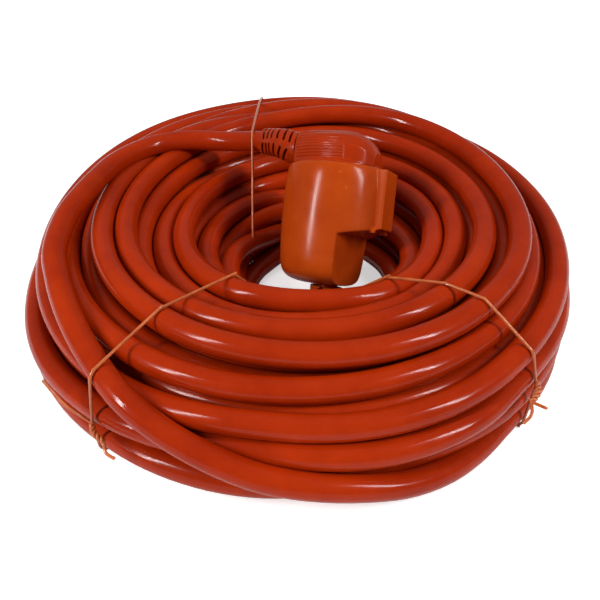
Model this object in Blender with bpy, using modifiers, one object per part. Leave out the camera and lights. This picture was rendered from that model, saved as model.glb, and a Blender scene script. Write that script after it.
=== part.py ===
"""A coiled shore power cord: plug and coupling mated in the middle of the coil, held by three wire ties."""

import math

import bmesh
import bpy
import numpy as np
from mathutils import Matrix, Vector

# Driving dimensions, in metres. The coil's middle is the origin and the floor is z = 0.
CORD_RADIUS = 0.005
CORE_RADIUS = 0.0016
GAP = 0.0003

COIL_OUTER = 0.128
COIL_HOLE = 0.049
COIL_OVAL = 1.09
COIL_HEIGHT = 0.052
COIL_CORNER = 0.013
HOLE_SHIFT = (0.008, -0.009)

TIE_RADIUS = 0.0006
TIE_CHANNEL = 0.0016
TWIST_PITCH = 0.0045
TWIST_TURNS = 2.5

# The mating plane of plug and coupling: its middle, and how the pair leans, rolls and turns.
MATE_POINT = Vector((0.018, 0.003, 0.0641))
MATE_LEAN = math.radians(34)
MATE_ROLL = math.radians(7)
MATE_TURN = math.radians(27)

# Schuko sizes: two 4.8 mm pins, 19 mm long at 19 mm centres, in a recess 17.5 mm deep.
PIN_RADIUS = 0.0024
PIN_LENGTH = 0.019
PIN_OFFSET = 0.0095
RECESS_RADIUS = 0.0197
RECESS_DEPTH = 0.0175
PLUG_RADIUS = 0.019
PLUG_FACE = -0.0171

BARREL_RADIUS = 0.0239
COUPLING_LENGTH = 0.0535
PAD_REACH = 0.0256
PAD_WIDTH = 0.0172
STEP_FACE = 0.010
EARTH_WIDTH = 0.005
STRIP = 0.0008

SLEEVE_ROOT = 0.0078
SLEEVE_TIP = 0.0064
PLUG_EXIT_HEIGHT = 0.0085
SLEEVE_SLOTS = 6


def clear_scene():
    for obj in list(bpy.data.objects):
        bpy.data.objects.remove(obj, do_unlink=True)


def new_collection(name):
    collection = bpy.data.collections.new(name)
    bpy.context.scene.collection.children.link(collection)
    return collection


def material(name, colour, roughness, metallic=0.0):
    made = bpy.data.materials.new(name)
    made.use_nodes = True
    shader = made.node_tree.nodes["Principled BSDF"]
    shader.inputs["Base Color"].default_value = (*colour, 1.0)
    shader.inputs["Roughness"].default_value = roughness
    shader.inputs["Metallic"].default_value = metallic
    return made


clear_scene()
PARTS = new_collection("shore_power_cord")
CUTTERS = new_collection("cutters")

SHEATH = material("orange_sheath", (0.50, 0.05, 0.008), 0.35)
MOULDING = material("orange_moulding", (0.56, 0.09, 0.012), 0.30)
CARRIER = material("grey_carrier", (0.30, 0.30, 0.31), 0.45)
BRASS = material("brass", (0.78, 0.60, 0.30), 0.30, 1.0)
NICKEL = material("nickel", (0.72, 0.70, 0.66), 0.25, 1.0)
WIRE = material("tie_wire", (0.55, 0.16, 0.05), 0.40)
BROWN = material("core_brown", (0.16, 0.06, 0.02), 0.40)
BLUE = material("core_blue", (0.02, 0.10, 0.45), 0.40)
GREEN = material("core_green_yellow", (0.25, 0.55, 0.05), 0.40)

# Local +Z leaves the socket's mouth, and local +X points at the coupling's flat pad.
MATE = (
    Matrix.Translation(MATE_POINT)
    @ Matrix.Rotation(MATE_ROLL, 4, "Y")
    @ Matrix.Rotation(-MATE_LEAN, 4, "X")
    @ Matrix.Rotation(-MATE_TURN, 4, "Z")
)


def frame_empty(name):
    empty = bpy.data.objects.new(name, None)
    empty.empty_display_size = 0.02
    empty.matrix_world = MATE
    PARTS.objects.link(empty)
    return empty


COUPLING = frame_empty("coupling_frame")
PLUG = frame_empty("plug_frame")


def local(point):
    return MATE.inverted() @ Vector(point)


def world(x, y, z):
    return MATE @ Vector((x, y, z))


# Object helpers


def adopt(obj, look=None, parent=None):
    """Files a new object as a part, or as a cutter when it has no look."""
    for collection in list(obj.users_collection):
        collection.objects.unlink(obj)
    if look is None:
        CUTTERS.objects.link(obj)
        obj.hide_render = True
        obj.display_type = "WIRE"
    else:
        PARTS.objects.link(obj)
        obj.data.materials.clear()
        obj.data.materials.append(look)
    obj.parent = parent
    return obj


def smooth(obj):
    obj.data.shade_smooth()
    obj.data.set_sharp_from_angle(angle=math.radians(35))
    return obj


def block(name, low, high, look=None, parent=None):
    bpy.ops.mesh.primitive_cube_add(size=1)
    obj = bpy.context.object
    obj.name = name
    low, high = Vector(low), Vector(high)
    size = Matrix.Diagonal((*(high - low), 1))
    obj.data.transform(Matrix.Translation((low + high) / 2) @ size)
    return adopt(obj, look, parent)


def rod(name, radius, low, high, centre=(0, 0), look=None, parent=None, sides=24):
    bpy.ops.mesh.primitive_cylinder_add(vertices=sides, radius=radius, depth=high - low)
    obj = bpy.context.object
    obj.name = name
    obj.data.transform(Matrix.Translation((*centre, (low + high) / 2)))
    return adopt(obj, look, parent)


def turned(name, profile, look=None, parent=None, closed=False, steps=40):
    """A profile of (radius, height) points, top to bottom on its outer side, turned about local Z."""
    mesh = bpy.data.meshes.new(name)
    edges = [(i, i + 1) for i in range(len(profile) - 1)]
    if closed:
        edges.append((len(profile) - 1, 0))
    mesh.from_pydata([(r, 0, z) for r, z in profile], edges, [])
    obj = bpy.data.objects.new(name, mesh)
    screw = obj.modifiers.new("turn", "SCREW")
    screw.steps = steps
    screw.render_steps = steps
    screw.use_merge_vertices = True
    screw.merge_threshold = 0.00002
    return adopt(obj, look, parent)


def cut(target, cutter, operation="DIFFERENCE"):
    modifier = target.modifiers.new(cutter.name, "BOOLEAN")
    modifier.operation = operation
    modifier.solver = "MANIFOLD"
    modifier.object = cutter
    return target


def tube(name, points, radii, look=None, parent=None, resolution=2):
    """A round tube on a poly spline. radii is one number, or one for each point."""
    curve = bpy.data.curves.new(name, "CURVE")
    curve.dimensions = "3D"
    curve.bevel_depth = 1.0
    curve.bevel_resolution = resolution
    curve.use_fill_caps = True
    spline = curve.splines.new("POLY")
    spline.points.add(len(points) - 1)
    sizes = radii if isinstance(radii, list) else [radii] * len(points)
    for target, point, size in zip(spline.points, points, sizes):
        target.co = (*point, 1)
        target.radius = size
    return adopt(bpy.data.objects.new(name, curve), look, parent)


def as_mesh(obj):
    """The same object as a closed mesh, so that a Boolean can take it."""
    bpy.context.view_layer.update()
    mesh = bpy.data.meshes.new_from_object(obj.evaluated_get(bpy.context.evaluated_depsgraph_get()))
    name, parent = obj.name, obj.parent
    look = None if obj.hide_render else obj.data.materials[0]
    bpy.data.objects.remove(obj, do_unlink=True)
    work = bmesh.new()
    work.from_mesh(mesh)
    bmesh.ops.remove_doubles(work, verts=work.verts, dist=0.000005)
    bmesh.ops.recalc_face_normals(work, faces=work.faces)
    work.to_mesh(mesh)
    work.free()
    return adopt(bpy.data.objects.new(name, mesh), look, parent)


def solid(name, points, faces, look=None, parent=None):
    """A closed mesh from its own points and faces, with its normals outward."""
    mesh = bpy.data.meshes.new(name)
    mesh.from_pydata(points, [], faces)
    work = bmesh.new()
    work.from_mesh(mesh)
    bmesh.ops.recalc_face_normals(work, faces=work.faces)
    work.to_mesh(mesh)
    work.free()
    return adopt(bpy.data.objects.new(name, mesh), look, parent)


# Routes


def smooth_route(points, spacing):
    """Evenly spaced points on a smooth curve through the route's own points."""
    route = np.array([tuple(p) for p in points])
    padded = np.vstack([2 * route[0] - route[1], route, 2 * route[-1] - route[-2]])
    dense = []
    for i in range(len(route) - 1):
        a, b, c, d = padded[i : i + 4]
        for t in np.linspace(0, 1, 24, endpoint=False):
            bend = (2 * a - 5 * b + 4 * c - d) * t**2 + (3 * b - a - 3 * c + d) * t**3
            dense.append(0.5 * (2 * b + (c - a) * t + bend))
    dense = np.array(dense + [route[-1]])
    along = np.concatenate([[0], np.cumsum(np.linalg.norm(np.diff(dense, axis=0), axis=1))])
    even = np.linspace(0, along[-1], max(3, round(along[-1] / spacing) + 1))
    return [Vector([np.interp(s, along, dense[:, k]) for k in range(3)]) for s in even]


def coil_point(radius, angle, height):
    """A place in the coil: its hole lies a little off its middle, and it is slightly oval."""
    inward = min(max((COIL_OUTER - radius) / (COIL_OUTER - COIL_HOLE), 0), 1)
    x = radius * math.cos(angle) + HOLE_SHIFT[0] * inward
    y = radius * COIL_OVAL * math.sin(angle) + HOLE_SHIFT[1] * inward
    return Vector((x, y, height))


def coil_radius(x, y):
    """The coil radius that runs through a place on the floor."""
    inward = 0.5
    for _ in range(12):
        radius = math.hypot(x - HOLE_SHIFT[0] * inward, (y - HOLE_SHIFT[1] * inward) / COIL_OVAL)
        inward = min(max((COIL_OUTER - radius) / (COIL_OUTER - COIL_HOLE), 0), 1)
    return radius


# From inside the coupling's neck down to the floor, and to the front of the coil's hole.
COUPLING_ROUTE = [world(0, 0, z) for z in (-0.0454, -0.0484, -COUPLING_LENGTH, -0.0570)] + [
    Vector(p)
    for p in (
        (0.0120, -0.0348, 0.0110),
        (0.0085, -0.0418, 0.0081),
        (0.0022, -0.0480, 0.0062),
        (-0.0062, -0.0515, 0.0054),
    )
]

# From inside the plug, over the coil's inner edge, and along the coil's top to its left side.
PLUG_ROUTE = [world(x, 0, PLUG_EXIT_HEIGHT) for x in (-0.006, -0.0145, -0.0225)] + [
    Vector(p)
    for p in (
        (-0.0075, 0.0213, 0.0676),
        (-0.0130, 0.0280, 0.0655),
        (-0.0207, 0.0347, 0.0630),
        (-0.0300, 0.0405, 0.0602),
        (-0.0405, 0.0450, 0.0582),
        (-0.0520, 0.0475, 0.0576),
        (-0.0640, 0.0465, 0.0575),
        (-0.0750, 0.0410, 0.0575),
        (-0.0845, 0.0310, 0.0575),
        (-0.0915, 0.0180, 0.0575),
        (-0.0955, 0.0030, 0.0575),
    )
]
PLUG_SLEEVE_LENGTH = 0.026
COUPLING_SLEEVE_LENGTH = 0.022


def stretch(route, start, stop):
    """The part of an evenly spaced route between two lengths along it."""
    step = (route[1] - route[0]).length
    return route[round(start / step) : round(stop / step) + 1]


# The cord


def ring_profile():
    """The coil's outer shape in section, rounded at its corners and flat underneath."""
    low, high = COIL_CORNER, COIL_HEIGHT - COIL_CORNER
    inner, outer = COIL_HOLE + COIL_CORNER, COIL_OUTER - COIL_CORNER
    profile = []
    for radius, height, start in ((outer, high, 90), (outer, low, 0), (inner, low, -90), (inner, high, -180)):
        for degrees in np.linspace(start, start - 90, 5):
            turn = math.radians(degrees)
            profile.append((radius + COIL_CORNER * math.cos(turn), height + COIL_CORNER * math.sin(turn)))
    return profile


def make_coil():
    ring = as_mesh(turned("cord_coil", ring_profile(), SHEATH, closed=True, steps=60))
    for vertex in ring.data.vertices:
        x, y, z = vertex.co
        vertex.co = coil_point(math.hypot(x, y), math.atan2(y, x), z)
    for name, inner, outer, _ in TIES:
        run = Vector((*outer, 0)) - Vector((*inner, 0))
        start, end = Vector((*inner, 0.0009)) - run * 0.2, Vector((*inner, 0.0009)) + run * 1.2
        cut(ring, as_mesh(tube(name + "_channel", [start, end], TIE_CHANNEL)))
    return smooth(ring)


def sleeve(name, route, parent):
    """A bend sleeve: a tapered tube round the cord, with a row of slots up each side."""
    steps = len(route) - 1
    radii = [SLEEVE_ROOT + (SLEEVE_TIP - SLEEVE_ROOT) * i / steps for i in range(steps + 1)]
    body = as_mesh(tube(name, route, radii, MOULDING, parent, 4))
    first = route[0] + (route[0] - route[1]).normalized() * 0.004
    last = route[-1] + (route[-1] - route[-2]).normalized() * 0.004
    bore = CORD_RADIUS + 0.0009
    cut(body, as_mesh(tube(name + "_bore", [first] + route + [last], bore, None, parent, 4)))
    points, faces = [], []
    for i in range(SLEEVE_SLOTS):
        place = (i + 1) * steps / (SLEEVE_SLOTS + 1)
        spot = route[round(place)]
        ahead = (route[round(place) + 1] - route[round(place) - 1]).normalized()
        side = Vector((0, 0, 1)).cross(ahead).normalized()
        if abs(ahead.z) > 0.8:
            side = Vector((0, 1, 0))
        above = ahead.cross(side)
        for turn in (-1, 1):
            first = len(points)
            for along in (-0.0007, 0.0007):
                for high in (-0.0042, 0.0042):
                    for out in (0.0046, 0.0095):
                        points.append(spot + ahead * along + above * high + side * turn * out)
            box = ((0, 1, 3, 2), (4, 6, 7, 5), (0, 4, 5, 1), (2, 3, 7, 6), (0, 2, 6, 4), (1, 5, 7, 3))
            faces += [[first + n for n in face] for face in box]
    cut(body, solid(name + "_slots", points, faces, None, parent))
    return smooth(body)


def make_cord_ends():
    """Each tail starts inside its moulding. The plug's own end of the cord moves with the plug."""
    route = smooth_route(COUPLING_ROUTE, 0.0020)
    tube("coupling_tail", route[::3] + [route[-1]], CORD_RADIUS, SHEATH)
    neck = COUPLING_LENGTH - 0.0454 + GAP
    run = [local(p) for p in stretch(route, neck + 0.0008, neck + COUPLING_SLEEVE_LENGTH)]
    sleeve("coupling_bend_sleeve", run, COUPLING)

    route = smooth_route(PLUG_ROUTE, 0.0020)
    split = 0.0140 + PLUG_SLEEVE_LENGTH
    inside = stretch(route, 0, split)
    outside = route[len(inside) - 1 :]
    tube("plug_cord_end", [local(p) for p in inside[::4] + [inside[-1]]], CORD_RADIUS, SHEATH, PLUG)
    outside[0] = outside[0] + (outside[1] - outside[0]) * 0.75
    tube("plug_tail", [outside[0]] + outside[4::4] + [outside[-1]], CORD_RADIUS, SHEATH)
    run = [local(p) for p in stretch(route, 0.0140, split - 0.002)]
    sleeve("plug_bend_sleeve", run, PLUG)


# The ties


def hull(points):
    """The outline of a taut wire round flat points, in order round them."""
    points = sorted(set(points))
    sides = []
    for row in (points, points[::-1]):
        side = []
        for p in row:
            while len(side) > 1:
                a, b = side[-2:]
                if (b[0] - a[0]) * (p[1] - a[1]) - (b[1] - a[1]) * (p[0] - a[0]) > 1e-12:
                    break
                side.pop()
            side.append(p)
        sides += side[:-1]
    return sides


def make_tie(name, inner, outer, passed):
    """One wire round the coil's section, its ends twisted together at the outer side."""
    start, end = Vector((*inner, 0)), Vector((*outer, 0))
    run = (end - start).normalized()
    reach = np.linspace(-0.03, (end - start).length + 0.03, 400)
    radii = [coil_radius(*(start + run * s).xy) for s in reach]
    first = int(np.argmin(radii))
    offset = 2 * GAP + TIE_RADIUS
    circles = [(float(np.interp(r, radii[first:], reach[first:])), z, offset) for r, z in ring_profile()]
    circles += [(s, z, size + offset) for s, z, size in passed]
    turns = [math.radians(d) for d in range(0, 360, 18)]
    loop = hull([(round(s + o * math.cos(t), 7), round(z + o * math.sin(t), 7)) for s, z, o in circles for t in turns])
    loop = [(s, max(z, 0.0009)) for s, z in loop]
    kept = [p for i, p in enumerate(loop) if math.dist(p, loop[i - 1]) > 0.0008]
    far = max(range(len(kept)), key=lambda i: kept[i][0] - 0.1 * abs(kept[i][1] - 0.024))
    ring = kept[far + 1 :] + kept[:far]
    places = [start + run * s + Vector((0, 0, z)) for s, z in ring]
    knot = start + run * (kept[far][0] + 2.2 * TIE_RADIUS) + Vector((0, 0, kept[far][1]))
    along = run.cross(Vector((0, 0, 1)))
    along = (along if along.y < 0 else -along) - Vector((0, 0, 0.9))
    along.normalize()
    above = run.cross(along).normalized()
    above = above if above.z > 0 else -above
    strands = []
    for phase in (0, math.pi):
        strand = []
        for i in range(15):
            turn = 2 * math.pi * TWIST_TURNS * i / 14 + phase
            swing = (TIE_RADIUS + GAP / 2) * (math.cos(turn) * above + math.sin(turn) * run)
            strand.append(knot + along * (TWIST_PITCH * TWIST_TURNS * i / 14 + 0.0015) + swing)
        strands.append(strand)
    if ring[0][1] > ring[-1][1]:
        strands.reverse()
    tube(name, strands[1][::-1] + places + strands[0], TIE_RADIUS, WIRE, resolution=1)


# Each tie: its name, its places at the hole and at the outer side, and the cords it also passes over.
TIES = (
    ("tie_back", (-0.0235, 0.0350), (-0.0235, 0.1360), ((0.0016, 0.0622, CORD_RADIUS + 0.0012),)),
    ("tie_front_left", (-0.0225, -0.0520), (-0.0730, -0.1150), ()),
    ("tie_front_right", (0.0340, -0.0530), (0.0885, -0.1010), ()),
)

# The coupling

COUPLING_PROFILE = (
    (0.0, 0.0),
    (0.0220, 0.0),
    (0.0228, -0.0012),
    (0.0235, -0.006),
    (BARREL_RADIUS, -0.015),
    (0.0239, -0.024),
    (0.0235, -0.033),
    (0.0229, -0.0400),
    (0.0220, -0.0440),
    (0.0202, -0.0474),
    (0.0174, -0.0500),
    (0.0140, -0.0518),
    (0.0108, -0.0529),
    (0.0090, -COUPLING_LENGTH),
    (0.0, -COUPLING_LENGTH),
)


def finger_step():
    """What the undercut takes away below the pad: a wedge whose roof rises outwards."""
    outline = ((STEP_FACE, -0.0305), (STEP_FACE - 0.0012, -0.060), (0.034, -0.060), (0.034, -0.0245))
    points = [(x, side * 0.03, z) for side in (-1, 1) for x, z in outline]
    faces = [(0, 1, 2, 3), (7, 6, 5, 4)] + [(i, (i + 1) % 4, (i + 1) % 4 + 4, i + 4) for i in range(4)]
    return solid("finger_step", points, faces, None, COUPLING)


def make_housing():
    housing = turned("coupling_housing", COUPLING_PROFILE, MOULDING, COUPLING)
    half = PAD_WIDTH / 2
    pad = block("pad", (0.008, -half, -0.034), (PAD_REACH, half, -0.0006), None, COUPLING)
    cut(housing, pad, "UNION")
    cut(housing, finger_step())
    for side in (-1, 1):
        low, high = sorted((side * (half + 0.0003), side * (half + 0.0009)))
        cut(housing, block(f"pad_groove_{side}", (0.0212, low, -0.0290), (0.030, high, 0.002), None, COUPLING))
    mouth = RECESS_RADIUS + 0.0015
    cut(housing, rod("mouth", mouth, -0.0245, 0.004, parent=COUPLING, sides=40))
    cut(housing, block("chamber", (-0.0098, -0.0152, -0.0405), (0.0065, 0.0152, -0.022), None, COUPLING))
    cut(housing, block("neck", (-0.0098, -0.0105, -0.0450), (0.006, 0.0105, -0.039), None, COUPLING))
    cut(housing, rod("bore", CORD_RADIUS + 0.0005, -0.056, -0.044, parent=COUPLING))
    return smooth(housing)


def make_insert():
    """The hard insert: a cup for the plug, and below it a block that holds the contacts."""
    outer = RECESS_RADIUS + 0.0012
    profile = (
        (0.0, -RECESS_DEPTH),
        (RECESS_RADIUS, -RECESS_DEPTH),
        (RECESS_RADIUS, -0.0004),
        (outer, -0.0004),
        (outer, -0.0215),
        (0.0, -0.0215),
    )
    insert = turned("coupling_insert", profile, CARRIER, COUPLING)
    holder = block("holder", (-0.0055, -0.0145, -0.0385), (0.0055, 0.0145, -0.0205), None, COUPLING)
    cut(insert, holder, "UNION")
    half = EARTH_WIDTH / 2 + GAP
    for side in (-1, 1):
        low, high = sorted((side * 0.0170, side * 0.0202))
        rib = block(f"guide_rib_{side}", (-0.003, low, -0.0185), (0.003, high, -0.0015), None, COUPLING)
        cut(insert, rib, "UNION")
        spot = (0, side * PIN_OFFSET)
        cut(insert, rod(f"contact_bore_{side}", 0.0040, -0.045, -0.0200, spot, parent=COUPLING))
        cut(insert, rod(f"pin_entry_{side}", 0.0029, -0.022, -0.010, spot, parent=COUPLING))
        low, high = sorted((side * 0.0184, side * 0.0225))
        cut(insert, block(f"clip_slot_{side}", (low, -half, -0.030), (high, half, -0.0025), None, COUPLING))
    cut(insert, block("bow_slot", (-0.008, -half, -0.0240), (0.008, half, -0.0219), None, COUPLING))
    return smooth(insert)


def make_contacts():
    for name, side in (("coupling_live_contact", 1), ("coupling_neutral_contact", -1)):
        inner, outer = PIN_RADIUS + GAP, PIN_RADIUS + 0.0012
        profile = ((inner, -0.0208), (outer, -0.0208), (outer, -0.0375), (inner, -0.0375))
        contact = turned(name, profile, BRASS, COUPLING, closed=True, steps=20)
        contact.location = (0, side * PIN_OFFSET, 0)
        smooth(contact)


def strip_bow(name, look, parent, reach, web, clip_low, clip_high):
    """A bent strip: a web across the middle, and a clip along each side."""
    half = EARTH_WIDTH / 2
    bow = block(name, (-reach, -half, web), (reach, half, web + STRIP), look, parent)
    for side in (-1, 1):
        low, high = sorted((side * reach, side * (reach - STRIP)))
        clip = block(f"{name}_clip_{side}", (low, -half, clip_low), (high, half, clip_high), None, parent)
        cut(bow, clip, "UNION")
    return bow


# The plug

# Along the grip: the place, then the half width and height of its wall, its shoulder and its crest.
GRIP = (
    (-0.0194, (0.0088, 0.0078), (0.0078, 0.0122), (0.0048, 0.0154)),
    (-0.0120, (0.0132, 0.0086), (0.0104, 0.0132), (0.0060, 0.0160)),
    (-0.0040, (0.0156, 0.0088), (0.0118, 0.0134), (0.0066, 0.0160)),
    (0.0050, (0.0158, 0.0088), (0.0118, 0.0134), (0.0064, 0.0158)),
    (0.0105, (0.0146, 0.0084), (0.0106, 0.0126), (0.0056, 0.0147)),
    (0.0155, (0.0112, 0.0070), (0.0078, 0.0100), (0.0042, 0.0114)),
    (0.0184, (0.0066, 0.0046), (0.0046, 0.0062), (0.0024, 0.0072)),
)


def make_grip():
    points, faces = [], []
    for x, *sizes in GRIP:
        side = [(sizes[0][0], 0.0007)] + sizes
        points += [(x, y, z) for y, z in side] + [(x, -y, z) for y, z in side[::-1]]
    for i in range(len(GRIP) - 1):
        for n in range(8):
            faces.append((8 * i + n, 8 * i + (n + 1) % 8, 8 * i + 8 + (n + 1) % 8, 8 * i + 8 + n))
    faces += [tuple(range(8))[::-1], tuple(range(8 * len(GRIP) - 8, 8 * len(GRIP)))]
    return solid("grip", points, faces, None, PLUG)


def make_plug_body():
    profile = (
        (0.0, 0.0016),
        (0.0182, 0.0016),
        (PLUG_RADIUS, 0.0009),
        (PLUG_RADIUS, PLUG_FACE + 0.0006),
        (PLUG_RADIUS - 0.0006, PLUG_FACE),
        (0.0, PLUG_FACE),
    )
    body = turned("plug_body", profile, MOULDING, PLUG)
    cut(body, make_grip(), "UNION")
    cut(body, block("pocket", (-0.008, -0.014, -0.020), (0.008, 0.014, 0.0035), None, PLUG))
    cut(body, block("core_space", (-0.008, -0.0100, 0.003), (0.006, 0.0100, 0.0118), None, PLUG))
    bore = rod("cord_bore", CORD_RADIUS + 0.0005, -0.030, -0.0045, parent=PLUG)
    bore.data.transform(Matrix.Translation((0, 0, PLUG_EXIT_HEIGHT)) @ Matrix.Rotation(math.pi / 2, 4, "Y"))
    cut(body, bore)
    half = EARTH_WIDTH / 2 + GAP
    cut(body, block("web_slot", (-0.0183, -half, -0.0024), (0.0183, half, -0.0010), None, PLUG))
    for side in (-1, 1):
        low, high = sorted((side * 0.0169, side * 0.0210))
        cut(body, block(f"earth_notch_{side}", (low, -half, -0.019), (high, half, -0.0010), None, PLUG))
        low, high = sorted((side * 0.0166, side * 0.0210))
        cut(body, block(f"side_groove_{side}", (-0.0036, low, -0.019), (0.0036, high, -0.0010), None, PLUG))
    return smooth(body)


def make_plug_inside():
    bridge = block("pin_bridge", (-0.0076, -0.0136, PLUG_FACE), (0.0076, 0.0136, -0.010), CARRIER, PLUG)
    tip = PLUG_FACE - PIN_LENGTH
    profile = (
        (0.0, -0.0070),
        (0.0034, -0.0070),
        (0.0034, -0.0097),
        (PIN_RADIUS, -0.0097),
        (PIN_RADIUS, tip + 0.0014),
        (PIN_RADIUS - 0.0004, tip + 0.0005),
        (PIN_RADIUS - 0.0012, tip),
        (0.0, tip),
    )
    for name, side in (("live_pin", 1), ("neutral_pin", -1)):
        hole = rod(f"{name}_hole", PIN_RADIUS + GAP, -0.020, -0.005, (0, side * PIN_OFFSET), parent=PLUG)
        cut(bridge, hole)
        pin = turned(name, profile, NICKEL, PLUG, steps=24)
        pin.location = (0, side * PIN_OFFSET, 0)
        smooth(pin)


def make_cores(owner, parent, live, earth):
    """Three insulated cores from the cord's end to the contacts. The neutral mirrors the live one."""
    neutral = [(x, -y, z) for x, y, z in live]
    for name, points, look in (("live", live, BROWN), ("neutral", neutral, BLUE), ("earth", earth, GREEN)):
        tube(f"{owner}_{name}_core", smooth_route(points, 0.0016), CORE_RADIUS, look, parent, 1)


make_coil()
make_cord_ends()
for tie in TIES:
    make_tie(*tie)
make_housing()
make_insert()
make_contacts()
strip_bow("coupling_earth_bow", BRASS, COUPLING, 0.0196, -0.0234, -0.0230, -0.0035)
make_cores(
    "coupling",
    COUPLING,
    ((0, 0.0095, -0.0378), (0, 0.0088, -0.0398), (0.0006, 0.0058, -0.0414), (0.0014, 0.0026, -0.0428), (0.0014, 0.0023, -0.0444)),
    ((-0.00765, 0, -0.0238), (-0.00765, 0, -0.0365), (-0.0064, 0, -0.0402), (-0.0036, 0, -0.0426), (-0.0028, 0, -0.0444)),
)
make_plug_body()
make_plug_inside()
strip_bow("plug_earth_strap", NICKEL, PLUG, 0.0180, -0.0021, -0.0155, -0.0017)
make_cores(
    "plug",
    PLUG,
    ((-0.0050, 0.0022, 0.0096), (-0.0030, 0.0028, 0.0086), (0.0, 0.0062, 0.0040), (0, 0.0088, -0.0015), (0, 0.0094, -0.0067)),
    ((-0.0050, 0, 0.0064), (-0.0038, 0, 0.0052), (-0.0028, 0, 0.0020), (-0.0028, 0, -0.0010)),
)
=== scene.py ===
# A coiled shore power cord: cord, mouldings, wire ties and the parts inside, on the frame's bodies
import math

import bmesh
import bpy
import numpy as np
from mathutils import Matrix, Vector


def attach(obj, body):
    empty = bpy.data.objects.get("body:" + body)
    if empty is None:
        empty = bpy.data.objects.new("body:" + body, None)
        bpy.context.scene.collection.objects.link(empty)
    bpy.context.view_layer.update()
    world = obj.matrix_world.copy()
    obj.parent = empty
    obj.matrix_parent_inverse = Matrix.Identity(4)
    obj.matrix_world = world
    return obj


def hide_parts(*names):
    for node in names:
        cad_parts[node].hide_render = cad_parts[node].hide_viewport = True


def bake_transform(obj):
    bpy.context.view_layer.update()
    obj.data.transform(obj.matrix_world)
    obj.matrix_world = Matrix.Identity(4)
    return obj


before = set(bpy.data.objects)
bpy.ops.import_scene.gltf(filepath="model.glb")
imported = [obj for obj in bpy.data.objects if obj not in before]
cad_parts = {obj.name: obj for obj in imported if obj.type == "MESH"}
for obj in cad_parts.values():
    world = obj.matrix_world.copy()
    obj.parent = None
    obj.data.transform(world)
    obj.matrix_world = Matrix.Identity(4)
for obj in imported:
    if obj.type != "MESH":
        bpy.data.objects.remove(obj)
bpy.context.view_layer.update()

print("frame loaded with", len(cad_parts), "nodes")

base = "coil_and_coupling"
plug = "plug"

# Camera

cameraSet = {"place": (0.0, -0.279, 0.207), "pitch": 37.9, "lens": 40.5}


def makeCamera(s):
    data = bpy.data.cameras.new("camera")
    data.lens = s["lens"]
    data.sensor_width = 36
    data.clip_start = 0.01
    camera = bpy.data.objects.new("camera", data)
    camera.location = s["place"]
    camera.rotation_euler = (math.radians(90 - s["pitch"]), 0, 0)
    bpy.context.scene.collection.objects.link(camera)
    bpy.context.scene.camera = camera


makeCamera(cameraSet)

# Where plug and coupling meet, as in the frame: +Z leaves the socket, +X points at the pad

mate = {"point": (0.018, 0.003, 0.0641), "lean": 34, "roll": 7, "turn": 27}

mateMatrix = (
    Matrix.Translation(Vector(mate["point"]))
    @ Matrix.Rotation(math.radians(mate["roll"]), 4, "Y")
    @ Matrix.Rotation(-math.radians(mate["lean"]), 4, "X")
    @ Matrix.Rotation(-math.radians(mate["turn"]), 4, "Z")
)


def fromMate(x, y, z):
    return tuple(mateMatrix @ Vector((x, y, z)))


# Mesh helpers


def addObject(name, mesh, material=None):
    obj = bpy.data.objects.new(name, mesh)
    bpy.context.scene.collection.objects.link(obj)
    if material:
        mesh.materials.clear()
        mesh.materials.append(material)
    return obj


def meshOf(name, points, faces, edges=()):
    mesh = bpy.data.meshes.new(name)
    mesh.from_pydata([tuple(p) for p in points], list(edges), faces)
    if faces:
        outward(mesh)
    return mesh


def outward(mesh):
    work = bmesh.new()
    work.from_mesh(mesh)
    bmesh.ops.remove_doubles(work, verts=work.verts, dist=0.000002)
    bmesh.ops.recalc_face_normals(work, faces=work.faces)
    work.to_mesh(mesh)
    work.free()


def evaluated(obj):
    bpy.context.view_layer.update()
    return bpy.data.meshes.new_from_object(obj.evaluated_get(bpy.context.evaluated_depsgraph_get()))


def baked(obj):
    # the object again, with what its modifiers made as its plain mesh
    mesh, name = evaluated(obj), obj.name
    bpy.data.objects.remove(obj, do_unlink=True)
    return addObject(name, mesh)


def lathe(name, profile, steps=144):
    turns = [2 * math.pi * i / steps for i in range(steps)]
    inner = [p for p in profile if p[0] > 0]
    points = [(r * math.cos(a), r * math.sin(a), z) for a in turns for r, z in inner]
    rows = len(inner)
    faces = []
    for i in range(steps):
        a, b = i * rows, (i + 1) % steps * rows
        faces += [(a + n, b + n, b + n + 1, a + n + 1) for n in range(rows - 1)]
    faces.append([i * rows for i in range(steps)])
    faces.append([i * rows + rows - 1 for i in range(steps)])
    return addObject(name, meshOf(name, points, faces))


def box(name, low, high):
    points = [(x, y, z) for x in (low[0], high[0]) for y in (low[1], high[1]) for z in (low[2], high[2])]
    faces = [(0, 1, 3, 2), (4, 6, 7, 5), (0, 4, 5, 1), (2, 3, 7, 6), (0, 2, 6, 4), (1, 5, 7, 3)]
    return addObject(name, meshOf(name, points, faces))


def prism(name, outline, half):
    count = len(outline)
    points = [(x, side * half, z) for side in (-1, 1) for x, z in outline]
    faces = [tuple(range(count)), tuple(range(2 * count - 1, count - 1, -1))]
    faces += [(i, (i + 1) % count, (i + 1) % count + count, i + count) for i in range(count)]
    return addObject(name, meshOf(name, points, faces))


def combine(target, tool, operation="DIFFERENCE"):
    boolean = target.modifiers.new(tool.name, "BOOLEAN")
    boolean.operation = operation
    boolean.solver = "MANIFOLD"
    boolean.object = tool
    target = baked(target)
    bpy.data.objects.remove(tool, do_unlink=True)
    return target


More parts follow.
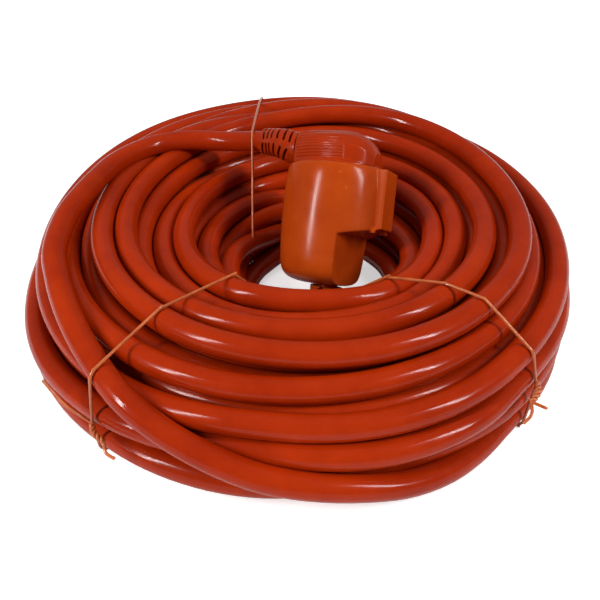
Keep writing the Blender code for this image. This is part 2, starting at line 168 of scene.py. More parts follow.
def softened(obj, voxel, rounds):
    # an even skin over the hard solid, with its edges eased
    skin = obj.modifiers.new("skin", "REMESH")
    skin.mode = "VOXEL"
    skin.voxel_size = voxel
    ease = obj.modifiers.new("ease", "SMOOTH")
    ease.factor = 0.5
    ease.iterations = rounds
    return baked(obj)


def finish(obj, name, material, body, slotName, *nodes):
    mesh = obj.data
    obj.name = mesh.name = name
    mesh.materials.clear()
    mesh.materials.append(material)
    mesh.polygons.foreach_set("material_index", [0] * len(mesh.polygons))
    mesh.polygons.foreach_set("use_smooth", [True] * len(mesh.polygons))
    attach(obj, body)
    if nodes:
        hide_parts(*nodes)
    print(name, "made with", len(mesh.polygons), "faces")


def smoothPath(points, spacing):
    # evenly spaced points on a smooth curve through the given ones
    route = np.array([tuple(p) for p in points])
    padded = np.vstack([2 * route[0] - route[1], route, 2 * route[-1] - route[-2]])
    dense = []
    for i in range(len(route) - 1):
        a, b, c, d = padded[i : i + 4]
        t = np.linspace(0, 1, 12, endpoint=False)[:, None]
        bend = (2 * a - 5 * b + 4 * c - d) * t**2 + (3 * b - a - 3 * c + d) * t**3
        dense.append(0.5 * (2 * b + (c - a) * t + bend))
    dense = np.vstack(dense + [route[-1:]])
    along = np.concatenate([[0], np.cumsum(np.linalg.norm(np.diff(dense, axis=0), axis=1))])
    even = np.linspace(0, along[-1], max(3, round(along[-1] / spacing) + 1))
    return np.stack([np.interp(even, along, dense[:, k]) for k in range(3)], axis=1)


def pathLength(path):
    return float(np.linalg.norm(np.diff(path, axis=0), axis=1).sum())


def tubeMesh(name, path, radius, sides, material=None):
    # a round tube whose UV map runs once round it, and along it in metres
    path = np.asarray(path, float)
    count = len(path)
    radii = np.broadcast_to(np.asarray(radius, float), (count,))
    tangents = np.gradient(path, axis=0)
    tangents /= np.linalg.norm(tangents, axis=1)[:, None]
    side = np.cross(tangents[0], (0.3, 0.2, 1.0))
    across = np.empty((count, 3))
    for i, t in enumerate(tangents):  # carried along, so that the tube doesn't twist
        side = side - t * side.dot(t)
        side /= np.linalg.norm(side)
        across[i] = side
    above = np.cross(tangents, across)
    turns = np.linspace(0, 2 * math.pi, sides, endpoint=False)
    cosines, sines = np.cos(turns)[None, :, None], np.sin(turns)[None, :, None]
    ring = cosines * across[:, None] + sines * above[:, None]
    places = (path[:, None] + ring * radii[:, None, None]).reshape(-1, 3)
    i = np.arange(count - 1)[:, None] * sides
    j = np.arange(sides)[None, :]
    k = (j + 1) % sides
    quads = np.stack([i + j, i + k, i + sides + k, i + sides + j], axis=-1).reshape(-1, 4)
    mesh = bpy.data.meshes.new(name)
    caps = [list(range(sides))[::-1], list(range((count - 1) * sides, count * sides))]
    mesh.from_pydata(places.tolist(), [], quads.tolist() + caps)
    along = np.concatenate([[0], np.cumsum(np.linalg.norm(np.diff(path, axis=0), axis=1))])
    rows, columns = np.repeat(np.arange(count - 1), sides), np.tile(np.arange(sides), count - 1)
    left, right, low, high = columns / sides, (columns + 1) / sides, along[rows], along[rows + 1]
    uv = np.zeros((len(mesh.loops), 2), np.float32)
    uv[: len(quads) * 4] = np.stack([left, low, right, low, right, high, left, high], axis=1).reshape(-1, 2)
    mesh.uv_layers.new(name="UVMap").data.foreach_set("uv", uv.ravel())
    mesh.polygons.foreach_set("use_smooth", [True] * len(mesh.polygons))
    work = bmesh.new()
    work.from_mesh(mesh)
    bmesh.ops.recalc_face_normals(work, faces=work.faces)
    work.to_mesh(mesh)
    work.free()
    mesh.set_sharp_from_angle(angle=math.radians(60))
    return addObject(name, mesh, material)


# Node helpers


def link(tree, value, socket):
    if isinstance(value, bpy.types.NodeSocket):
        tree.links.new(value, socket)
    else:
        socket.default_value = value


def put(tree, kind, inputs=None, **settings):
    made = tree.nodes.new(kind)
    for key, value in settings.items():
        setattr(made, key, value)
    for key, value in (inputs or {}).items():
        link(tree, value, made.inputs[key])
    return made


def maths(tree, operation, *values):
    made = tree.nodes.new("ShaderNodeMath")
    made.operation = operation
    for index, value in enumerate(values):
        link(tree, value, made.inputs[index])
    return made.outputs[0]


def vectorMath(tree, operation, *values):
    made = tree.nodes.new("ShaderNodeVectorMath")
    made.operation = operation
    for key, value in zip(("Scale",) if operation == "SCALE" else (), values[1:]):
        link(tree, value, made.inputs[key])
    for index, value in enumerate(values[:1] if operation == "SCALE" else values):
        link(tree, value, made.inputs[index])
    return made.outputs["Value" if operation in ("DOT_PRODUCT", "LENGTH") else "Vector"]


def mapRange(tree, value, low, high, toLow=0.0, toHigh=1.0):
    return put(tree, "ShaderNodeMapRange", {0: value, 1: low, 2: high, 3: toLow, 4: toHigh}).outputs[0]


def noise(tree, vector, scale, detail=3.0, roughness=0.6):
    sizes = {"Vector": vector, "Scale": scale, "Detail": detail, "Roughness": roughness}
    return put(tree, "ShaderNodeTexNoise", sizes).outputs[0]


def blendColours(tree, factor, a, b):
    mix = put(tree, "ShaderNodeMix", data_type="RGBA", blend_type="MIX")
    for index, value in ((0, factor), (6, a), (7, b)):
        link(tree, value, mix.inputs[index])
    return mix.outputs[2]


# Geometry Nodes helpers


def makeTree(name, inputs):
    tree = bpy.data.node_groups.new(name, "GeometryNodeTree")
    tree.interface.new_socket("Geometry", in_out="OUTPUT", socket_type="NodeSocketGeometry")
    tree.interface.new_socket("Geometry", in_out="INPUT", socket_type="NodeSocketGeometry")
    for label, kind in inputs:
        tree.interface.new_socket(label, in_out="INPUT", socket_type=kind)
    return tree, tree.nodes.new("NodeGroupInput").outputs, tree.nodes.new("NodeGroupOutput").inputs


def closeTree(tree, geometry, material, out):
    # every tree ends in plain, smooth geometry with its material
    real = put(tree, "GeometryNodeRealizeInstances", {"Geometry": geometry})
    even = put(tree, "GeometryNodeSetShadeSmooth", {"Geometry": real.outputs[0]})
    painted = put(tree, "GeometryNodeSetMaterial", {"Geometry": even.outputs[0], "Material": material})
    tree.links.new(painted.outputs[0], out["Geometry"])


def runTree(obj, tree, values):
    # the object again, with what the tree made of it as its plain mesh
    nodes = obj.modifiers.new(tree.name, "NODES")
    nodes.node_group = tree
    for item in tree.interface.items_tree:
        if item.in_out == "INPUT" and item.name in values:
            nodes[item.identifier] = values[item.name]
    return baked(obj)


# Materials: two shared effects, and the finishes that use them


def makeGroup(name, inputs, outputs):
    group = bpy.data.node_groups.new(name, "ShaderNodeTree")
    for label, kind, value in inputs:
        socket = group.interface.new_socket(label, in_out="INPUT", socket_type=kind)
        if value is not None:
            socket.default_value = value
    for label, kind in outputs:
        group.interface.new_socket(label, in_out="OUTPUT", socket_type=kind)
    return group, group.nodes.new("NodeGroupInput").outputs, group.nodes.new("NodeGroupOutput").inputs


def makeHandled():
    t, given, out = makeGroup(
        "handled surface",
        [
            ("Vector", "NodeSocketVector", None),
            ("Colour", "NodeSocketColor", (0.5, 0.05, 0.01, 1)),
            ("Deep Colour", "NodeSocketColor", (0.3, 0.02, 0.005, 1)),
            ("Dust Colour", "NodeSocketColor", (0.6, 0.45, 0.35, 1)),
            ("Roughness", "NodeSocketFloat", 0.3),
            ("Patch Size", "NodeSocketFloat", 60.0),
            ("Grain Size", "NodeSocketFloat", 2400.0),
            ("Dust", "NodeSocketFloat", 0.2),
        ],
        [("Colour", "NodeSocketColor"), ("Roughness", "NodeSocketFloat"), ("Height", "NodeSocketFloat")],
    )
    patches = noise(t, given["Vector"], given["Patch Size"], 4.0, 0.65)
    grain = noise(t, given["Vector"], given["Grain Size"], 2.0, 0.5)
    scuffs = noise(t, given["Vector"], maths(t, "MULTIPLY", given["Patch Size"], 9.0), 6.0, 0.8)
    colour = blendColours(t, mapRange(t, patches, 0.36, 0.66), given["Deep Colour"], given["Colour"])
    dusty = maths(t, "MULTIPLY", mapRange(t, scuffs, 0.56, 0.80), given["Dust"])
    colour = blendColours(t, dusty, colour, given["Dust Colour"])
    rough = maths(t, "ADD", given["Roughness"], mapRange(t, patches, 0.3, 0.7, -0.05, 0.07))
    rough = maths(t, "ADD", rough, maths(t, "MULTIPLY", dusty, 0.5))
    height = maths(t, "ADD", maths(t, "MULTIPLY", grain, 0.35), maths(t, "MULTIPLY", scuffs, 0.25))
    t.links.new(colour, out["Colour"])
    t.links.new(rough, out["Roughness"])
    t.links.new(height, out["Height"])
    return t


def makeEdges():
    t, given, out = makeGroup(
        "worn edges",
        [
            ("Colour", "NodeSocketColor", (0.5, 0.05, 0.01, 1)),
            ("Edge Colour", "NodeSocketColor", (0.7, 0.2, 0.05, 1)),
            ("Amount", "NodeSocketFloat", 0.6),
        ],
        [("Colour", "NodeSocketColor"), ("Mask", "NodeSocketFloat")],
    )
    shape = t.nodes.new("ShaderNodeNewGeometry")
    mask = maths(t, "MULTIPLY", mapRange(t, shape.outputs["Pointiness"], 0.515, 0.60), given["Amount"])
    t.links.new(blendColours(t, mask, given["Colour"], given["Edge Colour"]), out["Colour"])
    t.links.new(mask, out["Mask"])
    return t


handledGroup = makeHandled()
edgeGroup = makeEdges()


def makeFinish(name, s):
    made = bpy.data.materials.new(name)
    made.use_nodes = True
    tree = made.node_tree
    shader = tree.nodes["Principled BSDF"]
    shader.inputs["Metallic"].default_value = s.get("metallic", 0.0)
    shader.inputs["Specular IOR Level"].default_value = s.get("specular", 0.5)
    where = tree.nodes.new("ShaderNodeTexCoord").outputs["Object"]
    surface = tree.nodes.new("ShaderNodeGroup")
    surface.node_tree = handledGroup
    tree.links.new(where, surface.inputs["Vector"])
    for label in ("Colour", "Deep Colour", "Dust Colour"):
        surface.inputs[label].default_value = (*s[label], 1)
    for label in ("Roughness", "Patch Size", "Grain Size", "Dust"):
        surface.inputs[label].default_value = s[label]
    if "Stripe Colour" in s:  # the earth core's second colour runs round it in bands
        wave = put(tree, "ShaderNodeTexWave", {"Vector": where, "Scale": s["stripes"], "Distortion": 1.5})
        band = mapRange(tree, wave.outputs[1], 0.45, 0.55)
        striped = blendColours(tree, band, (*s["Colour"], 1), (*s["Stripe Colour"], 1))
        tree.links.new(striped, surface.inputs["Colour"])
    worn = tree.nodes.new("ShaderNodeGroup")
    worn.node_tree = edgeGroup
    tree.links.new(surface.outputs["Colour"], worn.inputs["Colour"])
    worn.inputs["Edge Colour"].default_value = (*s["Edge Colour"], 1)
    worn.inputs["Amount"].default_value = s["wear"]
    tree.links.new(worn.outputs["Colour"], shader.inputs["Base Color"])
    tree.links.new(surface.outputs["Roughness"], shader.inputs["Roughness"])
    sizes = {"Height": surface.outputs["Height"], "Strength": s["bump"], "Distance": 0.0002}
    tree.links.new(put(tree, "ShaderNodeBump", sizes).outputs[0], shader.inputs["Normal"])
    return made


plastic = {
    "Colour": (0.37, 0.024, 0.0015),
    "Deep Colour": (0.28, 0.015, 0.001),
    "Dust Colour": (0.42, 0.06, 0.012),
    "Edge Colour": (0.44, 0.045, 0.004),
    "Roughness": 0.15,
    "Patch Size": 26.0,
    "Grain Size": 900.0,
    "Dust": 0.22,
    "specular": 0.14,
    "wear": 0.30,
    "bump": 0.12,
}
shellLook = {
    **plastic,
    "Colour": (0.44, 0.056, 0.004),
    "Deep Colour": (0.36, 0.040, 0.003),
    "Edge Colour": (0.52, 0.10, 0.012),
    "Roughness": 0.19,
    "Patch Size": 40.0,
    "Grain Size": 2600.0,
    "wear": 0.5,
    "bump": 0.10,
}
plugLook = {
    **shellLook,
    "Colour": (0.37, 0.028, 0.002),
    "Deep Colour": (0.30, 0.020, 0.001),
    "Edge Colour": (0.46, 0.065, 0.008),
}
wireLook = {
    **plastic,
    "Colour": (0.52, 0.12, 0.03),
    "Deep Colour": (0.36, 0.06, 0.014),
    "Dust Colour": (0.60, 0.34, 0.20),
    "Edge Colour": (0.66, 0.24, 0.09),
    "Patch Size": 90.0,
    "Grain Size": 3000.0,
    "specular": 0.5,
}
carrierLook = {
    **plastic,
    "Colour": (0.12, 0.12, 0.125),
    "Deep Colour": (0.09, 0.09, 0.095),
    "Dust Colour": (0.30, 0.28, 0.26),
    "Edge Colour": (0.22, 0.22, 0.22),
    "Roughness": 0.45,
    "Patch Size": 60.0,
    "Grain Size": 2800.0,
}
metalLook = {
    **plastic,
    "Colour": (0.72, 0.69, 0.64),
    "Deep Colour": (0.56, 0.53, 0.48),
    "Dust Colour": (0.40, 0.36, 0.30),
    "Edge Colour": (0.86, 0.84, 0.80),
    "Roughness": 0.24,
    "Patch Size": 140.0,
    "Grain Size": 4000.0,
    "Dust": 0.35,
    "metallic": 1.0,
    "specular": 0.5,
}
brassLook = {
    **metalLook,
    "Colour": (0.78, 0.56, 0.22),
    "Deep Colour": (0.58, 0.37, 0.12),
    "Dust Colour": (0.34, 0.22, 0.09),
    "Edge Colour": (0.90, 0.72, 0.36),
}


def coreLook(colour, deep, **more):
    return {**carrierLook, "Colour": colour, "Deep Colour": deep, "Edge Colour": colour, **more}


floorLook = {
    **plastic,
    "Colour": (0.93, 0.93, 0.93),
    "Deep Colour": (0.915, 0.915, 0.915),
    "Dust Colour": (0.90, 0.90, 0.90),
    "Edge Colour": (0.93, 0.93, 0.93),
    "Roughness": 0.8,
    "Patch Size": 4.0,
    "Grain Size": 200.0,
    "Dust": 0.05,
    "bump": 0.02,
    "wear": 0.0,
}

sheath = makeFinish("cord_sheath", plastic)
shellFinish = makeFinish("coupling_plastic", shellLook)
plugFinish = makeFinish("plug_plastic", plugLook)
wireFinish = makeFinish("tie_wire_coat", wireLook)
carrierFinish = makeFinish("carrier_plastic", carrierLook)
nickelFinish = makeFinish("nickel_plate", metalLook)
brassFinish = makeFinish("contact_brass", brassLook)
brownFinish = makeFinish("core_brown_skin", coreLook((0.13, 0.045, 0.015), (0.09, 0.03, 0.01)))
blueFinish = makeFinish("core_blue_skin", coreLook((0.02, 0.10, 0.42), (0.012, 0.07, 0.30)))
stripes = {"Stripe Colour": (0.03, 0.30, 0.05), "stripes": 90.0}
earthFinish = makeFinish("core_earth_skin", coreLook((0.72, 0.60, 0.03), (0.62, 0.50, 0.02), **stripes))
floorFinish = makeFinish("floor_paper", floorLook)
print("materials made:", len(bpy.data.materials))

# The parts inside keep the frame's own shapes, and get their finishes

insideFinishes = {
    "coupling_insert": carrierFinish,
    "pin_bridge": carrierFinish,
    "coupling_live_contact": brassFinish,
    "coupling_neutral_contact": brassFinish,
    "coupling_earth_bow": brassFinish,
    "plug_earth_strap": brassFinish,
    "live_pin": nickelFinish,
    "neutral_pin": nickelFinish,
    "coupling_live_core": brownFinish,
    "plug_live_core": brownFinish,
    "coupling_neutral_core": blueFinish,
    "plug_neutral_core": blueFinish,
    "coupling_earth_core": earthFinish,
    "plug_earth_core": earthFinish,
}
for name, material in insideFinishes.items():
    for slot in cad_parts[name].material_slots:
        slot.material = material

# The coil: a section of discs at each station, which settles without passing through itself

cord = {"radius": 0.005, "slack": 0.0005, "turns": 36.25, "stations": 48, "seed": 5, "rounds": 500}
coil = {
    "outer": 0.128,
    "hole": 0.049,
    "oval": 1.09,
    "shift": (0.008, -0.009),
    "middle": (0.004, -0.0045),
    "columns": (2, 3, 4, 4, 5, 5, 4, 4, 3, 2),  # rows in each column, from the hole outwards
    "foot": 0.010,  # how far the first column lies inside the others
    "rise": 0.0105,
    "creep": (0.12, 0.98),
    "funnel": (0.019, 0.013),  # how far the lowest rows lie inwards: all round, and on the right
    "hump": 0.024,
    "belly": 0.003,
    "tuck": 0.005,
    "wander": (0.0026, 0.0016),
    "pinch": (0.003, 0.004),  # how far each tie draws the hole's side and the outer side in
    "pressed": 0.10,
    "tieWidth": 15,  # degrees
    "sag": 0.13,
    "ease": 0.5,
}

# Each tie: its places at the hole and at the outer side
ties = {
    "tie_back": ((-0.0235, 0.0350), (-0.0235, 0.1360)),
    "tie_front_left": ((-0.0225, -0.0520), (-0.0760, -0.1140)),
    "tie_front_right": ((0.0315, -0.0545), (0.0910, -0.0985)),
}

# The cord's own routes at its two ends: out of the coupling, and out of the plug
couplingRoute = [fromMate(0, 0, z) for z in (-0.0454, -0.0484, -0.0535, -0.0570)] + [
    (0.0120, -0.0348, 0.0110),
    (0.0085, -0.0418, 0.0081),
    (0.0022, -0.0480, 0.0062),
    (-0.0062, -0.0515, 0.0054),
]
plugRoute = [fromMate(x, 0, 0.0085) for x in (-0.006, -0.0145, -0.0225)] + [
    (-0.0075, 0.0213, 0.0676),
    (-0.0130, 0.0280, 0.0655),
    (-0.0207, 0.0347, 0.0630),
    (-0.0300, 0.0405, 0.0602),
    (-0.0405, 0.0450, 0.0582),
    (-0.0520, 0.0475, 0.0576),
    (-0.0640, 0.0465, 0.0575),
    (-0.0750, 0.0410, 0.0575),
    (-0.0845, 0.0310, 0.0575),
    (-0.0915, 0.0180, 0.0575),
    (-0.0955, 0.0030, 0.0575),
]
leadSide = [(-0.1018, -0.0270, 0.0552), (-0.0992, -0.0115, 0.0566)]


def coilEdges(angles, radius):
    # the coil's distance from its middle at each angle: slightly oval, and its hole off centre
    around = np.linspace(0, 2 * math.pi, 721)
    inward = min(max((coil["outer"] - radius) / (coil["outer"] - coil["hole"]), 0), 1)
    x = radius * np.cos(around) + coil["shift"][0] * inward - coil["middle"][0]
    y = radius * coil["oval"] * np.sin(around) + coil["shift"][1] * inward - coil["middle"][1]
    turn = np.arctan2(y, x) % (2 * math.pi)
    order = np.argsort(turn)
    return np.interp(angles % (2 * math.pi), turn[order], np.hypot(x, y)[order], period=2 * math.pi)


def waves(rng, count, per, size):
    # a smooth random line with a knot every few stations
    knots = rng.normal(0, 1, int(count / per) + 6)
    t = np.arange(count) / per + 1
    i = t.astype(int)
    f = t - i
    a, b, c, d = knots[i - 1], knots[i], knots[i + 1], knots[i + 2]
    line = (1 - f) ** 3 * a + (3 * f**3 - 6 * f**2 + 4) * b
    line = line + (-3 * f**3 + 3 * f**2 + 3 * f + 1) * c + f**3 * d
    return size * line / 3.5


def eased(t):
    t = np.clip(t, 0, 1)
    return t * t * (3 - 2 * t)


def coilSlots():
    # the place of each turn in the coil's section: column by column outwards, up one and down the next
    slots = []
    last = len(coil["columns"]) - 2
    for c, rows in enumerate(coil["columns"]):
        sag = coil["sag"] * (5 - rows) if c else 0.1
        column = [((c - 1) / last, sag + r) for r in range(rows)]
        slots += column if c % 2 == 0 else column[::-1]
    return np.array(slots + slots[-1:])


def tieSqueeze(angles):
    squeeze = np.zeros(len(angles))
    for near, far in ties.values():
        middle = (np.array(near) + np.array(far)) / 2 - np.array(coil["middle"])
        off = (angles - math.atan2(middle[1], middle[0]) + math.pi) % (2 * math.pi) - math.pi
        squeeze = np.maximum(squeeze, np.exp(-((off / math.radians(coil["tieWidth"])) ** 2)))
    return squeeze


def turnGoals(rng, angles, station, turn, squeeze):
    # where each station of each turn would like to be: its distance from the middle, and its height
    total, k, r = len(turn), cord["stations"], cord["radius"]
    slots = coilSlots()
    part = eased((station / k - coil["creep"][0]) / (coil["creep"][1] - coil["creep"][0]))[:, None]
    here, after = np.minimum(turn, len(slots) - 1), np.minimum(turn + 1, len(slots) - 1)
    slot = slots[here] * (1 - part) + slots[after] * part
    front, back = np.clip(-np.sin(angles), 0, 1)[station], np.clip(np.sin(angles), 0, 1)[station]
    right, leftward = np.clip(np.cos(angles), 0, 1)[station], np.clip(-np.cos(angles), 0, 1)[station]
    inwards = (1 - front) * (1 - leftward)
    inner, outer = coilEdges(angles, coil["hole"]), coilEdges(angles, coil["outer"])
    low = (inner + r + coil["pinch"][0] * squeeze)[station]
    high = (outer - r - coil["pinch"][1] * squeeze)[station]
    high = high - coil["tuck"] * right**2 + coil["belly"] * front**2
    reach, foot = np.clip(slot[:, 0], 0, 1), np.clip(-8 * slot[:, 0], 0, 1)
    height = slot[:, 1] * coil["rise"] * (1 - coil["pressed"] * squeeze[station])
    height = height + coil["hump"] * back * reach**2 * slot[:, 1] / 2
    goal = np.stack([low + reach * (high - low) - foot * coil["foot"] * inwards, r + height], axis=1)
    deep, shallow = coil["funnel"]
    funnel = (deep + (shallow - deep) * right) * (1 - 0.65 * front)  # the hole narrows towards the floor
    goal[:, 0] -= funnel * np.clip((0.040 - goal[:, 1]) / 0.035, 0, 1) * np.clip(1 - reach * 2.2, 0, 1)
    calm = 1 - 0.7 * squeeze[station]
    goal[:, 0] += waves(rng, total, k / 3.2, coil["wander"][0]) * calm
    goal[:, 1] += waves(rng, total, k / 3.0, coil["wander"][1]) * calm
    goal[:, 1] = np.maximum(goal[:, 1], r)
    # the last stretch climbs onto the rim, and meets the plug's lead
    end = np.array(leadSide[0]) - np.array((*coil["middle"], 0))
    left = total - np.arange(total)
    close, climb = eased(1 - (left - 2) / (0.16 * k)), eased(1 - (left - 2) / (0.26 * k))
    goal[:, 0] = goal[:, 0] * (1 - close) + (math.hypot(*end[:2]) + 0.003) * close
    goal[:, 1] = goal[:, 1] * (1 - climb) + end[2] * climb
    return goal, low - funnel - coil["foot"] * inwards - 0.0015, high + 0.001, climb


def settleCoil():
    k, r = cord["stations"], cord["radius"]
    total = round(cord["turns"] * k)
    station, turn = np.arange(total) % k, np.arange(total) // k
    angles = math.radians(270) - 2 * math.pi * np.arange(k) / k
    rng = np.random.default_rng(cord["seed"])
    goal, low, high, climb = turnGoals(rng, angles, station, turn, tieSqueeze(angles))
    place = goal.copy()
    rows = math.ceil(total / k)
    index = np.full((k, rows), -1)
    index[station, turn] = np.arange(total)
    used = index >= 0
    both = used[:, :, None] & used[:, None]
    gap = 2 * r * 1.015
    pull = (0.03 + 0.12 * climb)[:, None]
    for _ in range(cord["rounds"]):
        place += pull * (goal - place)
        place[1:-1] += coil["ease"] * (0.5 * (place[:-2] + place[2:]) - place[1:-1])
        for _ in range(2):
            away, far = sectionGaps(place, index, used)
            need = np.where(both, np.maximum(gap - far, 0), 0)
            push = (away / np.maximum(far, 1e-6)[..., None] * need[..., None] * 0.5).sum(axis=2)
            np.add.at(place, index[used], push[used])
            place[:, 0] = np.clip(place[:, 0], low, high)
            place[:, 1] = np.maximum(place[:, 1], r)
    closest = 1000 * float(sectionGaps(place, index, used)[1].min())
    print("coil settled: closest turns", round(closest, 2), "mm apart")
    x = coil["middle"][0] + place[:, 0] * np.cos(angles[station])
    y = coil["middle"][1] + place[:, 0] * np.sin(angles[station])
    return np.stack([x, y, place[:, 1]], axis=1)


def sectionGaps(place, index, used):
    # between every two turns that pass one station: the way and the distance apart
    grid = np.where(used[..., None], place[index], 9.0)
    away = grid[:, :, None] - grid[:, None]
    far = np.linalg.norm(away, axis=-1)
    rows = index.shape[1]
    far[:, np.arange(rows), np.arange(rows)] = 9
    return away, far


turnsPath = settleCoil()
mainPath = smoothPath(np.vstack([couplingRoute, turnsPath[5:-2], leadSide, plugRoute[-1:]]), 0.0050)
mainCord = tubeMesh("coiled_cord", mainPath, cord["radius"], 18, sheath)
leadPath = smoothPath(plugRoute, 0.0024)
leadPath = np.vstack([leadPath, leadPath[-1] + (leadPath[-1] - leadPath[-2]) * 0.8])
plugLead = tubeMesh("plug_lead", leadPath, cord["radius"] * 0.998, 18, sheath)
print("cord made:", round(pathLength(mainPath), 2), "m in the coil")

# Bend sleeves: a tapered tube with two rows of slots and a spine between them

sleeve = {
    "root": 0.0078,
    "tip": 0.0064,
    "bore": 0.0059,
    "slots": 6,
    "slot": (0.0060, 0.0088, 0.0013),
    "spine": (0.0, -0.91, 0.42),
    "row": 46,  # degrees from the spine to each row of slots
    "slant": 24,
    "slotted": (0.14, 0.88),  # the stretch of the sleeve that has slots
    "voxel": 0.00024,
}


def makeSlotTree():
    # boxes along a path, in a row to each side of its spine
    names = (("Slots", "NodeSocketInt"), ("Spine", "NodeSocketVector"), ("Row Angle", "NodeSocketFloat"))
    names += (("Slant", "NodeSocketFloat"), ("Reach", "NodeSocketFloat"), ("Size", "NodeSocketVector"))
    tree, given, out = makeTree("slots along a path", names + (("Material", "NodeSocketMaterial"),))
    curve = put(tree, "GeometryNodeMeshToCurve", {"Mesh": given["Geometry"]}).outputs[0]
    curve = put(tree, "GeometryNodeResampleCurve", {"Curve": curve, "Count": given["Slots"]}).outputs[0]
    tangent = tree.nodes.new("GeometryNodeInputTangent").outputs[0]
    side = vectorMath(tree, "NORMALIZE", vectorMath(tree, "CROSS_PRODUCT", tangent, given["Spine"]))
    above = vectorMath(tree, "CROSS_PRODUCT", side, tangent)
    block = put(tree, "GeometryNodeMeshCube", {"Size": given["Size"]}).outputs[0]
    joined = tree.nodes.new("GeometryNodeJoinGeometry")
    for row in (-1, 1):
        angle = maths(tree, "MULTIPLY", given["Row Angle"], row)
        slant = maths(tree, "MULTIPLY", given["Slant"], row)
        outwards = vectorMath(
            tree,
            "ADD",
            vectorMath(tree, "SCALE", above, maths(tree, "COSINE", angle)),
            vectorMath(tree, "SCALE", side, maths(tree, "SINE", angle)),
        )
        sideways = vectorMath(tree, "CROSS_PRODUCT", outwards, tangent)
        leaning = vectorMath(
            tree,
            "ADD",
            vectorMath(tree, "SCALE", tangent, maths(tree, "COSINE", slant)),
            vectorMath(tree, "SCALE", sideways, maths(tree, "SINE", slant)),
        )
        spots = {"Geometry": curve, "Offset": vectorMath(tree, "SCALE", outwards, given["Reach"])}
        moved = put(tree, "GeometryNodeSetPosition", spots).outputs[0]
        first = put(tree, "FunctionNodeAlignRotationToVector", {"Vector": outwards}, axis="X")
        turned = {"Rotation": first.outputs[0], "Vector": leaning}
        second = put(tree, "FunctionNodeAlignRotationToVector", turned, axis="Z", pivot_axis="X")
        boxes = {"Points": moved, "Instance": block, "Rotation": second.outputs[0]}
        tree.links.new(put(tree, "GeometryNodeInstanceOnPoints", boxes).outputs[0], joined.inputs[0])
    closeTree(tree, joined.outputs[0], given["Material"], out)
    return tree


slotTree = makeSlotTree()


def makeSleeve(name, route, material, body, node):
    steps = np.linspace(0, 1, len(route))
    radii = sleeve["root"] + (sleeve["tip"] - sleeve["root"]) * steps
    skin = tubeMesh(name, route, radii, 40)
    ends = [route[0] * 2 - route[1], *route, route[-1] * 2 - route[-2]]
    skin = combine(skin, tubeMesh(name + "_bore", ends, sleeve["bore"], 32))
    first, last = sleeve["slotted"]
    middle = route[round(first * len(route)) : round(last * len(route))]
    guide = meshOf(name + "_guide", middle, [], [(i, i + 1) for i in range(len(middle) - 1)])
    values = {
        "Slots": sleeve["slots"],
        "Spine": sleeve["spine"],
        "Row Angle": math.radians(sleeve["row"]),
        "Slant": math.radians(sleeve["slant"]),
        "Reach": sleeve["root"] - 0.0002,
        "Size": sleeve["slot"],
        "Material": material,
    }
    skin = combine(skin, runTree(addObject(name + "_slots", guide), slotTree, values))
    finish(softened(skin, sleeve["voxel"], 2), name, material, body, "orange_moulding", node)


leadRoute = smoothPath(plugRoute, 0.0010)
neckRoute = smoothPath(couplingRoute, 0.0010)
makeSleeve("plug_sleeve", leadRoute[14:39], plugFinish, plug, "plug_bend_sleeve")
makeSleeve("coupling_sleeve", neckRoute[9:30], shellFinish, base, "coupling_bend_sleeve")

# Coupling: a barrel with a flat pad on one side, and a finger step under the pad

coupling = {
    "recess": 0.0212,
    "pad": (0.0256, 0.0172),
    "step": 0.010,
    "groove": (0.0002, 0.0011),
    "voxel": 0.00050,
    "profile": (
        (0.0, 0.0),
        (0.0220, 0.0),
        (0.0228, -0.0012),
        (0.0235, -0.006),
        (0.0239, -0.015),
        (0.0239, -0.024),
        (0.0237, -0.033),
        (0.0233, -0.0400),
        (0.0227, -0.0450),
        (0.0214, -0.0488),
        (0.0188, -0.0513),
        (0.0150, -0.0527),
        (0.0112, -0.0533),
        (0.0090, -0.0535),
        (0.0, -0.0535),
    ),
}


def easedProfile(profile, spacing):
    # the same outline with its long flanks as a smooth curve
    outer = [p for p in profile if p[0] > 0]
    curve = smoothPath([(r, z, 0) for r, z in outer], spacing)
    return [(0.0, profile[0][1])] + [(float(r), float(z)) for r, z, _ in curve] + [(0.0, profile[-1][1])]


def makeCoupling(s):
    reach, width = s["pad"]
    half = width / 2
    shell = lathe("coupling_shell", easedProfile(s["profile"], 0.0012))
    shell = combine(shell, box("pad", (0.008, -half, -0.034), (reach, half, -0.0006)), "UNION")
    step = ((s["step"], -0.0305), (s["step"] - 0.0012, -0.060), (0.034, -0.060), (0.034, -0.0245))
    shell = combine(shell, prism("finger_step", step, 0.03))
    for side in (-1, 1):
        low, high = sorted(side * (half + g) for g in s["groove"])
        shell = combine(shell, box(f"groove{side}", (0.0203, low, -0.0290), (0.030, high, 0.002)))
        middle = side * (half + 0.00065)
        nub = box(f"nub{side}", (0.0200, middle - 0.0008, -0.0286), (0.0232, middle + 0.0008, -0.0270))
        shell = combine(shell, nub, "UNION")
    mouth = [(0, -0.0245), (s["recess"], -0.0245), (s["recess"], 0.004), (0, 0.004)]
    shell = combine(shell, lathe("mouth", mouth))
    shell = combine(shell, box("chamber", (-0.0098, -0.0152, -0.0405), (0.0065, 0.0152, -0.022)))
    shell = combine(shell, box("neck", (-0.0098, -0.0105, -0.0450), (0.006, 0.0105, -0.039)))
    bore = cord["radius"] + cord["slack"]
    shell = combine(shell, lathe("bore", [(0, -0.056), (bore, -0.056), (bore, -0.044), (0, -0.044)], 40))
    shell = softened(shell, s["voxel"], 3)
    shell.data.transform(mateMatrix)
    finish(shell, "coupling_shell", shellFinish, base, "orange_moulding", "coupling_housing")


makeCoupling(coupling)

# Plug: a disc in the socket's mouth, and above it a grip with fine ribs on its wall and shoulder

